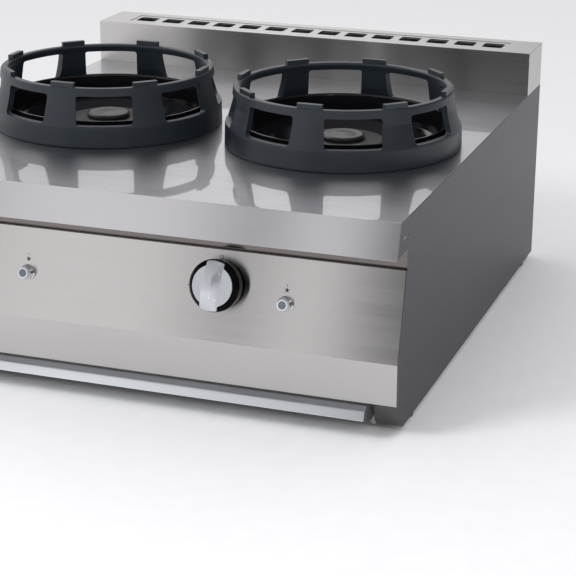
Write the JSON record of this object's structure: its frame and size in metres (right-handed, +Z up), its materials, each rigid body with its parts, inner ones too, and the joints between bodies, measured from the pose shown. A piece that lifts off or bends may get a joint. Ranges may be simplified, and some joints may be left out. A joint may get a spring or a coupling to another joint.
{
  "type": "countertop gas wok range",
  "caption": "Countertop gas wok range with burners under lift-off slotted wok rings, push-and-turn knobs, press igniters and a slide-out drip tray.",
  "frame": {"origin": "on the floor plane under the middle of the range", "axes": "+Z up, -Y towards the cook, +X to the right seen from the front"},
  "size_m": [0.8, 0.9, 0.417],
  "materials": {
    "polished_steel": "stainless steel sheet polished like a mirror on top, with a fine brushed front edge",
    "brushed_steel": "stainless steel with a fine grain running from side to side",
    "plain_steel": "plain mill-finish steel sheet, bar and pipe",
    "cast_iron": "dark slate cast iron with a smooth enamel skin",
    "black_enamel": "glossy black enamel",
    "brass": "plain machined brass",
    "aluminium": "satin anodised extrusion",
    "knob_black": "glossy black",
    "knob_silver": "silver-coloured satin plastic with a white pointer line",
    "chrome": "bright chrome",
    "button_grey": "pale rim round a blue-grey push disc",
    "dark_plastic": "matt dark grey",
    "white_ceramic": "white insulator",
    "rubber": "matt black"
  },
  "bodies": {
    "casing": {"worktop": "polished_steel", "side_panel_left": "brushed_steel", "side_panel_right": "brushed_steel", "control_panel": "brushed_steel", "front_rail": "plain_steel", "back_panel": "brushed_steel", "base_frame": "plain_steel", "front_skirt_left": "brushed_steel", "front_skirt_right": "brushed_steel", "foot_front_left": "rubber", "foot_front_right": "rubber", "foot_rear_left": "rubber", "foot_rear_right": "rubber", "flue_box": "brushed_steel", "flue_grille": "brushed_steel", "burner_rail_front": "plain_steel", "burner_rail_rear": "plain_steel", "burner_body_left": "cast_iron", "burner_body_right": "cast_iron", "pilot_burner_left": "brass", "pilot_burner_right": "brass", "spark_electrode_left": "white_ceramic", "spark_electrode_right": "white_ceramic", "gas_valve_left": "brass", "gas_valve_right": "brass", "igniter_bezel_left": "chrome", "igniter_bezel_right": "chrome", "piezo_igniter_left": "dark_plastic", "piezo_igniter_right": "dark_plastic", "gas_manifold": "plain_steel", "feed_pipe_left": "plain_steel", "feed_pipe_right": "plain_steel", "supply_pipe": "plain_steel", "gas_inlet": "brass", "tray_runner_left": "plain_steel", "tray_runner_right": "plain_steel"},
    "tray": {"drip_tray": "plain_steel", "tray_front": "brushed_steel", "tray_handle": "aluminium", "handle_cap_left": "dark_plastic", "handle_cap_right": "dark_plastic"},
    "bowl_left": {"spill_bowl_left": "black_enamel"},
    "ring_left": {"wok_ring_left": "cast_iron"},
    "head_left": {"burner_head_left": "cast_iron"},
    "cap_left": {"burner_cap_left": "cast_iron"},
    "press_left": {"push_washer_left": "plain_steel"},
    "knob_left": {"knob_body_left": "knob_black", "knob_face_left": "knob_silver", "valve_stem_left": "brass"},
    "button_left": {"igniter_button_left": "button_grey"},
    "bowl_right": {"spill_bowl_right": "black_enamel"},
    "ring_right": {"wok_ring_right": "cast_iron"},
    "head_right": {"burner_head_right": "cast_iron"},
    "cap_right": {"burner_cap_right": "cast_iron"},
    "press_right": {"push_washer_right": "plain_steel"},
    "knob_right": {"knob_body_right": "knob_black", "knob_face_right": "knob_silver", "valve_stem_right": "brass"},
    "button_right": {"igniter_button_right": "button_grey"}
  },
  "joints": [
    {"name": "tray_slide", "type": "slide", "parent": "casing", "child": "tray", "axis": [0, -1, 0], "range_m": [0, 0.5]},
    {"name": "bowl_lift_left", "type": "slide", "parent": "casing", "child": "bowl_left", "axis": [0, 0, 1], "range_m": [0, 0.1]},
    {"name": "ring_lift_left", "type": "slide", "parent": "bowl_left", "child": "ring_left", "axis": [0, 0, 1], "range_m": [0, 0.15]},
    {"name": "head_lift_left", "type": "slide", "parent": "casing", "child": "head_left", "axis": [0, 0, 1], "range_m": [0, 0.08]},
    {"name": "cap_lift_left", "type": "slide", "parent": "head_left", "child": "cap_left", "axis": [0, 0, 1], "range_m": [0, 0.05]},
    {"name": "knob_push_left", "type": "slide", "parent": "casing", "child": "press_left", "axis": [0, 0.9719, -0.2354], "range_m": [0, 0.004], "stiffness_N_per_m": 2500, "springref_m": -0.003},
    {"name": "knob_turn_left", "type": "hinge", "parent": "press_left", "child": "knob_left", "pos_m": [-0.27, -0.40963, 0.19299], "axis": [0, -0.9719, 0.2354], "range_deg": [0, 180]},
    {"name": "button_push_left", "type": "slide", "parent": "casing", "child": "button_left", "axis": [0, 0.9719, -0.2354], "range_m": [0, 0.004], "stiffness_N_per_m": 1200, "springref_m": -0.002},
    {"name": "bowl_lift_right", "type": "slide", "parent": "casing", "child": "bowl_right", "axis": [0, 0, 1], "range_m": [0, 0.1]},
    {"name": "ring_lift_right", "type": "slide", "parent": "bowl_right", "child": "ring_right", "axis": [0, 0, 1], "range_m": [0, 0.15]},
    {"name": "head_lift_right", "type": "slide", "parent": "casing", "child": "head_right", "axis": [0, 0, 1], "range_m": [0, 0.08]},
    {"name": "cap_lift_right", "type": "slide", "parent": "head_right", "child": "cap_right", "axis": [0, 0, 1], "range_m": [0, 0.05]},
    {"name": "knob_push_right", "type": "slide", "parent": "casing", "child": "press_right", "axis": [0, 0.9719, -0.2354], "range_m": [0, 0.004], "stiffness_N_per_m": 2500, "springref_m": -0.003},
    {"name": "knob_turn_right", "type": "hinge", "parent": "press_right", "child": "knob_right", "pos_m": [0.13, -0.40963, 0.19299], "axis": [0, -0.9719, 0.2354], "range_deg": [0, 180]},
    {"name": "button_push_right", "type": "slide", "parent": "casing", "child": "button_right", "axis": [0, 0.9719, -0.2354], "range_m": [0, 0.004], "stiffness_N_per_m": 1200, "springref_m": -0.002}
  ]
}
